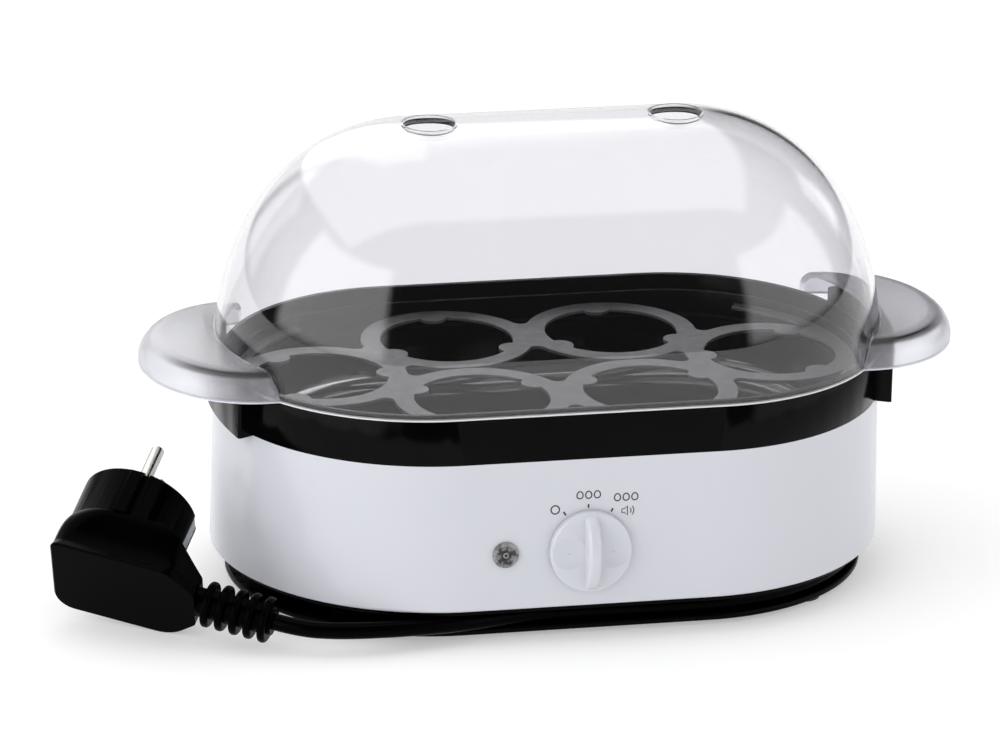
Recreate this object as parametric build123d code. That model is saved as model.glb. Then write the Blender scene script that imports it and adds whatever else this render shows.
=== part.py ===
from build123d import *
import math
import os

# Electric egg cooker for six eggs: a steamer base with a lift-out egg tray and a
# clear lid, a front panel with a rotary switch and a lamp, and a mains lead that
# winds into a channel under the base.  Millimetres.  The origin is on the floor under
# the middle of the body, +X runs along the body to the right, -Y is the front, +Z up.

# ---- driving dimensions ----
FOOT_HEIGHT = 2.0
FLANGE_TOP = 4.5
CHANNEL_TOP = 11.5
PLATE_TOP = 14.0
BODY_BOTTOM = 13.5
RING_BOTTOM = 67.0
LEDGE_BOTTOM = 72.3
LEDGE_TOP = 74.8
STEP_TOP = 79.3
RIM_TOP = 82.5
LID_GAP = 0.1
LID_HEIGHT = 85.0
TONGUE_TOP = 89.3

# half length and half depth of the long round-ended outline at each level
OUTLINE_RIM = (120.0, 72.0)
OUTLINE_RING_BOTTOM = (120.0, 74.5)
OUTLINE_BODY_BOTTOM = (121.0, 78.0)
OUTLINE_FLANGE = (115.5, 71.0)
OUTLINE_PLATE = (118.2, 75.2)
WALL = 2.4
SKIRT_BOTTOM = 62.6      # lower end of the ring's skirt inside the body
EDGE_ROUNDING = 1.2
UPPER_STRAIGHT = 48.0    # half of the straight side between the round ends, upper parts
LOWER_STRAIGHT = 44.5    # the same for the cord winder
DRUM_DEPTH = 57.0
DRUM_WALL = 2.5

# the boss on each end of the ring, measured round the end's middle
BOSS_RADIUS = 78.4
BOSS_END = 122.2
BOSS_FACE_RADIUS = 156.0
BOSS_HALF_ANGLE = 27
BOSS_HALF_WIDTH = 35.2
GROOVE_ANGLE = 29.2
GROOVE_WIDTH = 2.2

HOLE_RADIUS = 24.0
RING_RADIUS = 31.0
HOLES = [(-30.4, 31.3), (30.4, 31.3), (-30.4, -31.3), (30.4, -31.3), (-82.2, 0), (82.2, 0)]
NUB_ANGLES = [90, 90, 270, 270, 0, 180]
NUB_RADIUS = 5.0
TRAY_THICKNESS = 1.2
TRAY_EDGE = 64.2
ARM_WIDTH = 4.5
ARM_REACH = 57.0

PAN_FLANGE_TOP = 70.8
PAN_STEEL = 0.8
PAN_FLOOR = 50.0
SPREADER_THICKNESS = 2.5
ELEMENT_RADIUS = 3.5
ELEMENT_Y = 26.0         # half of the gap between the two legs of the hairpin

LID_WALL = 2.0
DOME_FULLNESS = 0.60
VENT_X = 44.5
VENT_RADIUS = 9.25
VENT_LIP = 0.7
VENT_RISE = 0.4
HANDLE_CENTRE = 109.5
HANDLE_ROOT = 94.0
HANDLE_REACH = 37.8
HANDLE_HALF_WIDTH = 43.9
HANDLE_TOP = 93.0
HANDLE_ROUNDING = 9.0
HANDLE_WALL = 2.2

KNOB_X = -1.0
LAMP_X = -31.0
PANEL_Z = 34.0
KNOB_RADIUS = 14.5
KNOB_HEIGHT = 10.5
SCOOP_RADIUS = 26.0
LAMP_RADIUS = 4.65

CORD_DIAMETER = 6.0
CORD_Z = 7.9
INNER_TURN = 60.2
OUTER_TURN = 67.0

# the plug: middle of its face, direction of its pins, and sizes in its own frame
PLUG_FACE = Vector(-149.5, -17.5, 37.2)
PIN_AZIMUTH = 57.1
PIN_ELEVATION = 30.7
PLUG_ROLL = -9.8
PLUG_RADIUS = 20.9
HEAD_DEPTH = 19.5
WAIST_DEPTH = 34.2
PLUG_DEPTH = 37.5
PIN_DIAMETER = 4.8
PIN_LENGTH = 19.0
PIN_SPACING = 19.0
SNOUT_END = 33.5
RELIEF_AXIS = -32.9
RELIEF_PITCH = 5.25
RELIEF_RINGS = 5
RELIEF_END = 61.4

SCREW_RADIUS = 1.5
HEAD_RADIUS = 2.8

os.makedirs("parts", exist_ok=True)


# ---- helpers ----
def save(shape, name):
    shape.label = name
    export_step(shape, f"parts/{name}.step")


def stadium(outline, z=0.0):
    half_length, half_depth = outline
    return Pos(0, 0, z) * SlotOverall(2 * half_length, 2 * half_depth)


def grown(outline, by):
    return outline[0] + by, outline[1] + by


def slab(outline, low, high):
    return extrude(stadium(outline, low), high - low)


def tapered(low_outline, low, high_outline, high):
    return loft([stadium(low_outline, low), stadium(high_outline, high)], ruled=True)


def upper(depth):
    return UPPER_STRAIGHT + depth, depth


def lower(depth):
    return LOWER_STRAIGHT + depth, depth


def rod(x, y, low, high, radius):
    return Pos(x, y, (low + high) / 2) * Cylinder(radius, high - low)


def block(low, high):
    size = [b - a for a, b in zip(low, high)]
    middle = [(a + b) / 2 for a, b in zip(low, high)]
    return Pos(*middle) * Box(*size)


def group(solids):
    return Compound(children=list(solids))


def run_radii(points):
    """The largest tangent arc that the two runs at each corner allow."""
    radii = []
    for a, b, c in zip(points, points[1:], points[2:]):
        turn = math.radians((b - a).get_angle(c - b))
        shorter = min((b - a).length, (c - b).length)
        radii.append(0.45 * shorter / math.tan(turn / 2))
    return radii


def tube(points, diameter):
    """A round tube along straight runs joined by tangent arcs."""
    points = [Vector(*p) for p in points]
    line = FilletPolyline(*points, radius=run_radii(points))
    section = Plane(origin=line @ 0, z_dir=line % 0) * Circle(diameter / 2)
    return sweep(section, path=line), line.length


# ---- the front panel's own frame: x right, y up the panel, z out of it ----
PANEL_SLOPE = (OUTLINE_BODY_BOTTOM[1] - OUTLINE_RING_BOTTOM[1]) / (RING_BOTTOM - BODY_BOTTOM)


def panel_frame(x, z):
    y = -OUTLINE_BODY_BOTTOM[1] + PANEL_SLOPE * (z - BODY_BOTTOM)
    return Plane(origin=(x, y, z), x_dir=(1, 0, 0), z_dir=(0, -1, PANEL_SLOPE))


KNOB_FRAME = panel_frame(KNOB_X, PANEL_Z)
LAMP_FRAME = panel_frame(LAMP_X, PANEL_Z)

PLATE_SCREWS = [(-50, -71.0), (50, -71.0), (-50, 71.0), (50, 71.0)]
POST_X = 113.4
FLANGE_SCREWS = [(-62, -30), (62, -30), (-62, 30), (62, 30)]
BRACKET_PLACES = [(-36, -65.0), (36, -65.0), (-36, 65.0), (36, 65.0)]
FOOT_PLACES = [(-84, -48), (84, -48), (-84, 48), (84, 48)]
SWITCH_SCREWS = [(-13, 0), (13, 0)]
BOLT_PLACES = [-20, 20]
TERMINAL_PITCH = 9.5
TERMINAL_PLACE = (-70, 30)


# ---- casing ----
def housing_shell():
    """White tapered shell, open above and below, with bosses for the base screws."""
    body = tapered(OUTLINE_BODY_BOTTOM, BODY_BOTTOM, OUTLINE_RING_BOTTOM, RING_BOTTOM)
    edge = body.faces().sort_by(Axis.Z)[0].outer_wire().edges()
    body = fillet(edge, EDGE_ROUNDING)
    inner = tapered(grown(OUTLINE_BODY_BOTTOM, -WALL), BODY_BOTTOM - 0.01,
                    grown(OUTLINE_RING_BOTTOM, -WALL), RING_BOTTOM + 0.01)
    shell = body - inner
    outer = tapered(grown(OUTLINE_BODY_BOTTOM, -0.6), BODY_BOTTOM + 2,
                    grown(OUTLINE_RING_BOTTOM, -0.6), RING_BOTTOM)
    for x, y in PLATE_SCREWS:
        boss = rod(x, y, PLATE_TOP + 0.05, 34, 4.2) & outer
        shell = shell + boss - rod(x, y, PLATE_TOP, 30, SCREW_RADIUS - 0.2)
    shell -= KNOB_FRAME * Cylinder(5.9, 12)
    shell -= LAMP_FRAME * Cylinder(4.15, 12)
    for x, y in SWITCH_SCREWS:
        stub = KNOB_FRAME * (Pos(x, y, -4.2) * Cylinder(3.0, 4.4))
        shell = shell + stub - KNOB_FRAME * (Pos(x, y, -4.9) * Cylinder(1.1, 4.6))
    return shell


def end_sector(side, low, high, inner, outer, half_angle):
    """A slice of a round end between two radii."""
    centre = side * UPPER_STRAIGHT
    ring = Circle(outer) - Circle(inner)
    reach = outer * 1.5
    a = math.radians(half_angle)
    wedge = Polygon((0, 0), (reach * math.cos(a), -reach * math.sin(a)),
                    (reach * 1.2, 0), (reach * math.cos(a), reach * math.sin(a)), align=None)
    flat = ring & wedge
    if side < 0:
        flat = Rot(0, 0, 180) * flat
    return Pos(centre, 0, low) * extrude(flat, high - low)


def tongue(side):
    """The boss on each round end, rising under the lid's handle with rounded corners."""
    boss = end_sector(side, RING_BOTTOM, RIM_TOP, 70.0, BOSS_RADIUS, BOSS_HALF_ANGLE)
    boss += end_sector(side, RIM_TOP - 1, TONGUE_TOP, 74.0, BOSS_RADIUS, BOSS_HALF_ANGLE)
    arch = Pos(0, 0, (RING_BOTTOM + TONGUE_TOP) / 2)
    arch = arch * Box(400, 2 * BOSS_HALF_WIDTH, TONGUE_TOP - RING_BOTTOM)
    top_edges = arch.edges().filter_by(Axis.X).sort_by(Axis.Z)[-2:]
    boss &= fillet(top_edges, 6.0)
    return boss & Pos(side * (BOSS_END - BOSS_FACE_RADIUS), 0, 60) * Cylinder(BOSS_FACE_RADIUS, 100)


def collar_ring():
    """Black ring: outer wall, stepped inside with the tray ledge, skirt, end bosses."""
    ring = tapered(OUTLINE_RING_BOTTOM, RING_BOTTOM, OUTLINE_RIM, RIM_TOP)
    ring += slab(grown(OUTLINE_RING_BOTTOM, -WALL - 0.3), SKIRT_BOTTOM, RING_BOTTOM + 0.5)
    ring += slab(upper(69.6), RIM_TOP - 1, RIM_TOP + 1.8)
    ring -= slab(upper(68.0), STEP_TOP, RIM_TOP + 5)
    ring -= slab(upper(64.8), LEDGE_TOP, STEP_TOP + 0.1)
    ring -= slab(upper(59.6), LEDGE_BOTTOM - 0.1, LEDGE_TOP + 0.1)
    ring -= slab(upper(68.2), 60, LEDGE_BOTTOM)
    for side in (-1, 1):
        ring += tongue(side)
        for angle in (-GROOVE_ANGLE, GROOVE_ANGLE):
            groove = Rot(0, 0, angle) * (Pos(75.6, 0, 0) * Box(3.4, GROOVE_WIDTH, 60))
            if side < 0:
                groove = Rot(0, 0, 180) * groove
            ring -= Pos(side * UPPER_STRAIGHT, 0, RING_BOTTOM + 30.4) * groove
        post = rod(side * POST_X, 0, PLATE_TOP + 0.05, LEDGE_BOTTOM + 0.5, 3.3)
        ring += post + block((min(side * POST_X, side * 116.4), -1.5, SKIRT_BOTTOM),
                             (max(side * POST_X, side * 116.4), 1.5, LEDGE_BOTTOM))
        ring -= rod(side * POST_X, 0, PLATE_TOP, 32, SCREW_RADIUS - 0.2)
    for x, y in BRACKET_PLACES:
        inset = 1.3 if y > 0 else -1.3
        boss = rod(x, y + inset, 70.2, LEDGE_BOTTOM + 0.5, 3.0)
        ring = ring + boss - rod(x, y, 66, LEDGE_BOTTOM + 1.2, SCREW_RADIUS - 0.4)
    return ring


def base_plate():
    """Black floor of the housing with the winder drum, cord gland block and posts."""
    plate = slab(OUTLINE_PLATE, CHANNEL_TOP, PLATE_TOP)
    drum = slab(lower(DRUM_DEPTH), FLANGE_TOP, CHANNEL_TOP)
    drum -= slab(lower(DRUM_DEPTH - DRUM_WALL), FLANGE_TOP - 1, CHANNEL_TOP)
    plate += drum
    for x, y in FLANGE_SCREWS:
        plate += rod(x, y, FLANGE_TOP, CHANNEL_TOP + 1, 4.5)
        plate -= rod(x, y, FLANGE_TOP - 1, PLATE_TOP - 1, SCREW_RADIUS - 0.2)
    for x, y in PLATE_SCREWS:
        plate -= rod(x, y, CHANNEL_TOP - 1, PLATE_TOP + 1, SCREW_RADIUS + 0.3)
        plate -= rod(x, y, CHANNEL_TOP - 1, CHANNEL_TOP + 1.4, HEAD_RADIUS + 0.2)
    for side in (-1, 1):
        plate -= rod(side * POST_X, 0, CHANNEL_TOP - 1, PLATE_TOP + 1, SCREW_RADIUS + 0.3)
        plate -= rod(side * POST_X, 0, CHANNEL_TOP - 1, CHANNEL_TOP + 1.4, HEAD_RADIUS + 0.2)
    plate -= block((-33, DRUM_DEPTH - DRUM_WALL - 1, 4), (10.2, DRUM_DEPTH + 1, CHANNEL_TOP))
    plate -= Pos(-32, 27, PLATE_TOP) * Box(36, 18, 10)
    for x in (-70, -40, 20, 50):
        plate -= Pos(x, 0, PLATE_TOP) * extrude(SlotOverall(24, 4), 6, both=True)
    return plate


def winder_flange():
    """Bottom disc of the cord winder, screwed to the drum, with the four foot seats."""
    disc = slab(OUTLINE_FLANGE, FOOT_HEIGHT, FLANGE_TOP)
    rims = [face.outer_wire().edges() for face in disc.faces().filter_by(Axis.Z)]
    disc = fillet([edge for rim in rims for edge in rim], 1.0)
    for x, y in FLANGE_SCREWS:
        disc -= rod(x, y, 0, 6, SCREW_RADIUS + 0.3)
        disc -= rod(x, y, 0, FOOT_HEIGHT + 1.4, HEAD_RADIUS + 0.2)
    for x, y in FOOT_PLACES:
        disc -= rod(x, y, 0, 6, 2.5)
    for x in (-40, -20, 0, 20, 40):
        disc -= Pos(x, 0, 0) * extrude(Rot(0, 0, 90) * SlotOverall(44, 4), 8)
    return disc


def rubber_feet():
    feet = []
    for x, y in FOOT_PLACES:
        pad = rod(x, y, 0, FOOT_HEIGHT, 6.5)
        pad = fillet(pad.edges().sort_by(Axis.Z)[0], 0.6)
        feet.append(pad + rod(x, y, FOOT_HEIGHT, FLANGE_TOP - 0.2, 2.4))
    return group(feet)


def screw(x, y, head_low, tip):
    head = rod(x, y, head_low, head_low + 1.3, HEAD_RADIUS)
    cross = Pos(x, y, head_low) * (Box(3.2, 0.8, 1.2) + Box(0.8, 3.2, 1.2))
    return head + rod(x, y, head_low, tip, SCREW_RADIUS - 0.25) - cross


def base_screws():
    places = PLATE_SCREWS + [(-POST_X, 0), (POST_X, 0)]
    return group(screw(x, y, CHANNEL_TOP + 0.1, 26) for x, y in places)


def flange_screws():
    return group(screw(x, y, FOOT_HEIGHT + 0.1, 12.5) for x, y in FLANGE_SCREWS)


# ---- steam side: pan, seal, heater ----
def heating_pan():
    """Pressed steel dish with a flat rim clamped under the tray ledge."""
    outer = tapered(upper(54.0), PAN_FLOOR, upper(58.0), PAN_FLANGE_TOP)
    low_edges = outer.faces().sort_by(Axis.Z)[0].outer_wire().edges()
    outer = fillet(low_edges, 9.0)
    inner = tapered(upper(53.2), PAN_FLOOR + PAN_STEEL, upper(57.2), PAN_FLANGE_TOP + 0.3)
    low_edges = inner.faces().sort_by(Axis.Z)[0].outer_wire().edges()
    inner = fillet(low_edges, 8.3)
    rim = slab(upper(62.0), PAN_FLANGE_TOP - PAN_STEEL, PAN_FLANGE_TOP)
    return outer + rim - inner


def pan_seal():
    low = PAN_FLANGE_TOP + 0.02
    high = LEDGE_BOTTOM - 0.02
    return slab(upper(61.6), low, high) - slab(upper(59.8), low - 1, high + 1)


def pan_brackets():
    """Steel tabs that press the pan's rim up against the seal."""
    tabs = []
    for x, y in BRACKET_PLACES:
        side = 1 if y > 0 else -1
        low_y, high_y = sorted((side * 60.2, side * 67.8))
        tab = block((x - 5, low_y, 68.6), (x + 5, high_y, 69.95))
        tabs.append(tab - rod(x, y, 60, 75, SCREW_RADIUS + 0.2))
    return group(tabs)


def bracket_screws():
    solids = []
    for x, y in BRACKET_PLACES:
        shank = rod(x, y, 67.2, 72.8, SCREW_RADIUS - 0.45)
        head = rod(x, y, 67.2, 68.55, HEAD_RADIUS - 0.3)
        solids.append(head + shank - Pos(x, y, 67.2) * Box(3.4, 0.7, 1.2))
    return group(solids)


def heat_spreader():
    low = PAN_FLOOR - SPREADER_THICKNESS
    plate = slab((82, 38), low, PAN_FLOOR)
    for x in BOLT_PLACES:
        plate -= rod(x, 0, low - 1, low + 2.1, 1.3)
    return plate


def heating_element():
    """Sheathed tube bent into a hairpin under the pan, with its two cold ends."""
    z = PAN_FLOOR - SPREADER_THICKNESS - ELEMENT_RADIUS - 0.05
    corners = [(88, -ELEMENT_Y, z), (-64, -ELEMENT_Y, z), (-64, ELEMENT_Y, z), (88, ELEMENT_Y, z)]
    line = FilletPolyline(*corners, radius=24.0)
    section = Plane(origin=line @ 0, z_dir=line % 0) * Circle(ELEMENT_RADIUS)
    sheath = sweep(section, path=line)
    ends = [Pos(94, y, z) * Rot(0, 90, 0) * Cylinder(1.6, 12) for y in (-ELEMENT_Y, ELEMENT_Y)]
    return sheath + ends[0] + ends[1]


def element_straps():
    z = PAN_FLOOR - SPREADER_THICKNESS
    straps = []
    for x in (-30, 30):
        for y in (-ELEMENT_Y, ELEMENT_Y):
            outer = block((x - 4, y - 5, z - 8.2), (x + 4, y + 5, z))
            inner = block((x - 5, y - 3.7, z - 7.15), (x + 5, y + 3.7, z + 1))
            ears = block((x - 4, y - 8.5, z - 1), (x + 4, y + 8.5, z))
            straps.append(outer + ears - inner)
    return group(straps)


def thermostat():
    top = PAN_FLOOR - SPREADER_THICKNESS - 0.05
    disc = rod(0, 0, top - 3.4, top, 8.0)
    body = rod(0, 0, top - 8.6, top - 3.4, 7.0)
    tabs = block((-1.6, -11, top - 10), (1.6, 11, top - 8.2))
    return disc + body + tabs


def thermostat_bracket():
    top = PAN_FLOOR - SPREADER_THICKNESS - 0.05
    plate = block((-26, -11, top - 1), (26, 11, top)) - rod(0, 0, top - 2, top + 1, 8.3)
    strap = block((-12.2, -9, top - 5), (12.2, 9, top - 4)) - rod(0, 0, top - 6, top - 3.4, 7.2)
    legs = block((-12.2, -9, top - 5), (-11.2, 9, top - 0.5))
    legs += block((11.2, -9, top - 5), (12.2, 9, top - 0.5))
    plate = plate + strap + legs
    for x in BOLT_PLACES:
        plate -= rod(x, 0, top - 3, top + 2, 1.6)
    return plate


def bracket_bolts():
    top = PAN_FLOOR - SPREADER_THICKNESS - 0.05
    bolts = []
    for x in BOLT_PLACES:
        bolts.append(rod(x, 0, top - 3.2, top - 1.05, 2.6) + rod(x, 0, top - 3.2, top + 2, 1.15))
    return group(bolts)


def thermal_fuse():
    z = PAN_FLOOR - SPREADER_THICKNESS - 2.3
    body = Pos(-42, 0, z) * Rot(0, 90, 0) * Cylinder(2.1, 14)
    tails = Pos(-42, 0, z) * Rot(0, 90, 0) * Cylinder(0.5, 24)
    return body + tails


# ---- controls ----
def knob():
    """Round knob with a raised finger bar and shallow scoops beside it."""
    disc = extrude(Pos(0, 0, 0.4) * Circle(KNOB_RADIUS), 3.0)
    disc = fillet(disc.edges().filter_by(GeomType.CIRCLE).sort_by(Axis.Z)[-1], 0.9)
    for side in (-1, 1):
        disc -= Pos(side * 7.9, 0, 3.4 + SCOOP_RADIUS - 0.7) * Sphere(SCOOP_RADIUS)
    arch = Plane.YZ * (Pos(0, 0.4) * Ellipse(KNOB_RADIUS - 0.4, KNOB_HEIGHT - 0.4))
    arch = arch & Plane.YZ * (Pos(0, 20.4) * Rectangle(60, 40))
    bar = extrude(arch, 2.3, both=True)
    ridge = bar.edges().filter_by(lambda e: e.geom_type != GeomType.LINE)
    bar = fillet(ridge, 1.5)
    hub = Pos(0, 0, -1.9) * Cylinder(5.2, 5.2)
    whole = disc + bar + hub
    bore = Pos(0, 0, -3) * Cylinder(3.05, 9) & Pos(0, -0.75, -3) * Box(8, 6.5, 12)
    return KNOB_FRAME * (whole - bore)


def knob_clip():
    """Spring steel sleeve strip on the flat of the spindle."""
    return KNOB_FRAME * (Pos(0, 2.3, -2.2) * Box(3.0, 0.3, 4.2))


def switch_spindle():
    shaft = Pos(0, 0, -9.4) * Cylinder(3.0, 20.4)
    flat = Pos(0, 4.1, -2.0) * Box(8, 4, 6.4)
    return KNOB_FRAME * (shaft - flat)


def rotary_switch():
    """Three-position switch body with a bored bushing and four blade tabs."""
    body = Pos(0, 0, -18.5) * Box(20.8, 24, 13)
    body += Pos(0, 0, -10.2) * Cylinder(5.0, 5.0)
    body -= Pos(0, 0, -12) * Cylinder(3.05, 30) & Pos(0, 0, -14.0) * Box(20, 20, 16)
    for x in (-8, -3, 3, 8):
        body += Pos(x, -4, -28) * Box(0.8, 6.3, 7)
    return KNOB_FRAME * body


def switch_bracket():
    plate = Pos(0, 0, -11.3) * Box(34, 12, 1.2) - Pos(0, 0, -11.3) * Cylinder(5.15, 6)
    for x, y in SWITCH_SCREWS:
        leg = Pos(x, y, -8.9) * Cylinder(3.0, 4.0)
        plate = plate + leg - Pos(x, y, -10) * Cylinder(1.5, 12)
    return KNOB_FRAME * plate


def bracket_fixings():
    bolts = []
    for x, y in SWITCH_SCREWS:
        shank = Pos(x, y, -8.4) * Cylinder(1.0, 8.4)
        head = Pos(x, y, -12.6) * Cylinder(2.4, 1.3)
        bolts.append(KNOB_FRAME * (shank + head))
    return group(bolts)


def lamp_lens():
    """Clear round lens with a stepped barrel through the panel."""
    face = Pos(0, 0, 0.55) * Cylinder(LAMP_RADIUS, 1.0)
    face = fillet(face.edges().sort_by(Axis.Z)[-1], 0.35)
    barrel = Pos(0, 0, -3.2) * Cylinder(4.0, 6.6)
    bore = Pos(0, 0, -4.4) * Cylinder(3.1, 7.4)
    return LAMP_FRAME * (face + barrel - bore)


def lamp_holder():
    sleeve = Pos(0, 0, -8.0) * Cylinder(5.4, 10.4) - Pos(0, 0, -6.0) * Cylinder(4.1, 10)
    return LAMP_FRAME * (sleeve - Pos(0, 0, -12) * Cylinder(1.4, 6))


def lamp_bulb():
    glass = Pos(0, 0, -7.2) * Cylinder(2.4, 7.0)
    tip = Pos(0, 0, -3.7) * Sphere(2.4)
    leads = Pos(0.6, 0, -13) * Cylinder(0.3, 5) + Pos(-0.6, 0, -13) * Cylinder(0.3, 5)
    return LAMP_FRAME * (glass + tip + leads)


def buzzer():
    x, y = 62, -34
    body = rod(x, y, PLATE_TOP + 0.05, PLATE_TOP + 11, 12.5)
    body = fillet(body.edges().sort_by(Axis.Z)[-1], 1.5)
    body += block((x - 17, y - 3, PLATE_TOP + 0.05), (x + 17, y + 3, PLATE_TOP + 2))
    return body - rod(x, y, PLATE_TOP + 8, PLATE_TOP + 12, 2.0)


def terminal_block():
    x, y = TERMINAL_PLACE
    z = PLATE_TOP + 0.05
    body = block((x - 15, y - 8, z), (x + 15, y + 8, z + 13))
    for k in (-1, 0, 1):
        middle = x + TERMINAL_PITCH * k
        body -= rod(middle, y, z + 6, z + 14, 2.4)
        body -= Pos(middle, y, z + 4.5) * Rot(90, 0, 0) * Cylinder(1.5, 20)
    return body


def terminal_screws():
    x, y = TERMINAL_PLACE
    z = PLATE_TOP + 6.6
    screws = []
    for k in (-1, 0, 1):
        middle = x + TERMINAL_PITCH * k
        one = rod(middle, y, z, z + 4, 2.3) - Pos(middle, y, z + 4) * Box(4, 0.7, 1.4)
        screws.append(one)
    return group(screws)


# ---- lead inside the base ----
def cord_gland():
    """Bushing that turns the lead along the winder's rear wall."""
    low = (-6.0, DRUM_DEPTH - DRUM_WALL, FLANGE_TOP + 0.05)
    high = (10.0, 63.8, CHANNEL_TOP - 0.05)
    body = block(low, high)
    body = fillet(body.edges().filter_by(Axis.Z).sort_by(Axis.X)[-2:], 1.5)
    bore = Pos(2, INNER_TURN, CORD_Z) * Rot(0, 90, 0) * Cylinder(CORD_DIAMETER / 2 + 0.05, 30)
    return body - bore


def cord_tail():
    points = [(10, INNER_TURN, CORD_Z), (-14, INNER_TURN, CORD_Z), (-24, 50, CORD_Z),
              (-27, 38, CORD_Z)]
    return tube(points, CORD_DIAMETER)[0]


def cord_clamp():
    bar = block((-37, 39, 4.6), (-15, 45, 11.45))
    return bar - Pos(-26, 42, CORD_Z) * Box(9.6, 20, 6.2)


def lead(points):
    return tube(points, 2.2)[0]


def leads():
    """The lead's three cores and the wires from them to the switch and the heater."""
    top = PLATE_TOP
    entry = top + 4.55
    live = [(-29.5, 36.5, 8), (-36, 28, 9.5), (-47, 19, 17), (-60.5, 10, entry), (-60.5, 25, entry)]
    neutral = [(-27, 36.5, 8), (-33, 24, 12.5), (-46, 13, 21), (-70, 6, entry), (-70, 25, entry)]
    earth = [(-24.5, 36.5, 8), (-28, 22.5, 14.5), (-46, 7, 25), (-79.5, 4, entry), (-79.5, 25, entry)]
    switched = [(-60.5, 35.5, entry), (-60.5, 50, entry), (-34, 42, 28), (-14, -10, 28),
                (-9, -38, 29)]
    heater = [(2, -38, 29), (24, -26, 27), (58, -12, 30), (92, -13, 36), (101.5, -22, 43.9)]
    names = ["live_core", "neutral_core", "earth_core", "switch_lead", "heater_lead"]
    return dict(zip(names, map(lead, (live, neutral, earth, switched, heater))))


# ---- the lead outside the base ----
def plug_frame():
    azimuth = math.radians(PIN_AZIMUTH)
    elevation = math.radians(PIN_ELEVATION)
    roll = math.radians(PLUG_ROLL)
    out = Vector(math.cos(elevation) * math.cos(azimuth),
                 math.cos(elevation) * math.sin(azimuth), math.sin(elevation))
    left = Vector(0, 0, 1).cross(out).normalized()
    rise = out.cross(left)
    along = left * -math.cos(roll) + rise * math.sin(roll)
    return Plane(origin=PLUG_FACE, x_dir=along, z_dir=out)


PLUG = plug_frame()


def cord_winding():
    """Outer shape of the turns in the channel: all round inside, half round outside."""
    low = CORD_Z - CORD_DIAMETER / 2
    high = CORD_Z + CORD_DIAMETER / 2
    between = lower(INNER_TURN + 3.2)
    inner = slab(between, low, high) - slab(lower(DRUM_DEPTH + 0.3), low - 1, high + 1)
    outer = slab(lower(OUTER_TURN + 3), low, high) - slab(between, low - 1, high + 1)
    outer &= block((0, -100, 0), (200, 0, 20)) + block((-36, 0, 0), (200, 100, 20))
    return inner + outer - block((-27, DRUM_DEPTH - 2, 0), (10.02, 63.95, 20))


CORD_RUN = [(0.0, -67.0, 7.9), (-13.0, -67.0, 7.9), (-29.0, -69.6, 7.9), (-45.0, -73.2, 7.9),
            (-62.0, -75.5, 8.3), (-77.8, -76.9, 8.9), (-90.8, -76.8, 9.4)]
CORD_APPROACH = 10.0


def power_cord():
    ends = [Vector(RELIEF_END + beyond, 0, RELIEF_AXIS) for beyond in (CORD_APPROACH, 0)]
    points = CORD_RUN + [tuple(PLUG.from_local_coords(end)) for end in ends]
    print("cord end", [[round(v, 2) for v in point] for point in points[-2:]])
    solid, length = tube(points, CORD_DIAMETER)
    radii = run_radii([Vector(*p) for p in points])
    print("cord radii", [round(r, 1) for r in radii], "length", round(length, 1))
    print("volume ratio", solid.volume / (math.pi * CORD_DIAMETER ** 2 / 4 * length))
    return solid


def plug_head():
    """Round head; a guide rib, a groove and a raised flat on two opposite sides."""
    head = Pos(0, 0, -HEAD_DEPTH / 2) * Cylinder(PLUG_RADIUS, HEAD_DEPTH)
    head = fillet(head.edges().sort_by(Axis.Z)[-1], 1.0)
    raised = Pos(0, -PLUG_RADIUS + 0.4) * RectangleRounded(4.8, 2.8, 0.5)
    raised += Pos(7.2, -PLUG_RADIUS + 2.2) * RectangleRounded(5.2, 2.6, 0.4)
    key = Pos(0, 0, -HEAD_DEPTH) * extrude(raised, HEAD_DEPTH - 1.2)
    groove = Pos(3.6, -PLUG_RADIUS, -HEAD_DEPTH / 2) * Box(2.0, 4.4, HEAD_DEPTH + 1)
    slot = Pos(PLUG_RADIUS, 0, -HEAD_DEPTH / 2) * Box(2.6, 7.0, HEAD_DEPTH + 1)
    for turn in (Rot(0, 0, 0), Rot(0, 0, 180)):
        head = head + turn * key - turn * groove - turn * slot
    return head


def plug_section(z, left, half, upper, under):
    """Outline across the plug's back: two rounded corners at the left, narrowed to the snout."""
    points = [(-left, -half), (24, -half), (SNOUT_END, -8), (SNOUT_END, 8), (24, half), (-left, half)]
    outline = Polygon(*points, align=None)
    for x, y, radius in ((-left, -half, upper), (-left, half, under), (24, -half, 6), (24, half, 14),
                         (SNOUT_END, -8, 2), (SNOUT_END, 8, 2)):
        near = outline.vertices().sort_by_distance((x, y, 0))[0]
        outline = fillet(near, radius)
    return Pos(0, 0, z) * outline


def plug_body():
    """Moulded right-angle plug: round head, waisted grip, sloped snout to the lead."""
    grip = [plug_section(-HEAD_DEPTH, 20.9, 20.9, 19.0, 19.0), plug_section(-23.5, 20.7, 19.9, 13.0, 14.0),
            plug_section(-28.5, 20.3, 18.0, 8.0, 10.5), plug_section(-WAIST_DEPTH, 19.6, 17.2, 4.5, 8.0)]
    lip = plug_section(-PLUG_DEPTH + 0.7, 19.5, 18.3, 3.6, 7.5)
    back_face = plug_section(-PLUG_DEPTH, 18.9, 17.7, 3.2, 7.0)
    back = loft(grip) + loft([grip[-1], lip], ruled=True) + loft([lip, back_face], ruled=True)
    slope = Plane(origin=(17, 0, -HEAD_DEPTH), x_dir=(0, 1, 0), z_dir=(0.47, 0, 0.88))
    back -= slope * Pos(0, 0, 20) * Box(60, 80, 40)
    return PLUG * (plug_head() + back)


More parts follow.
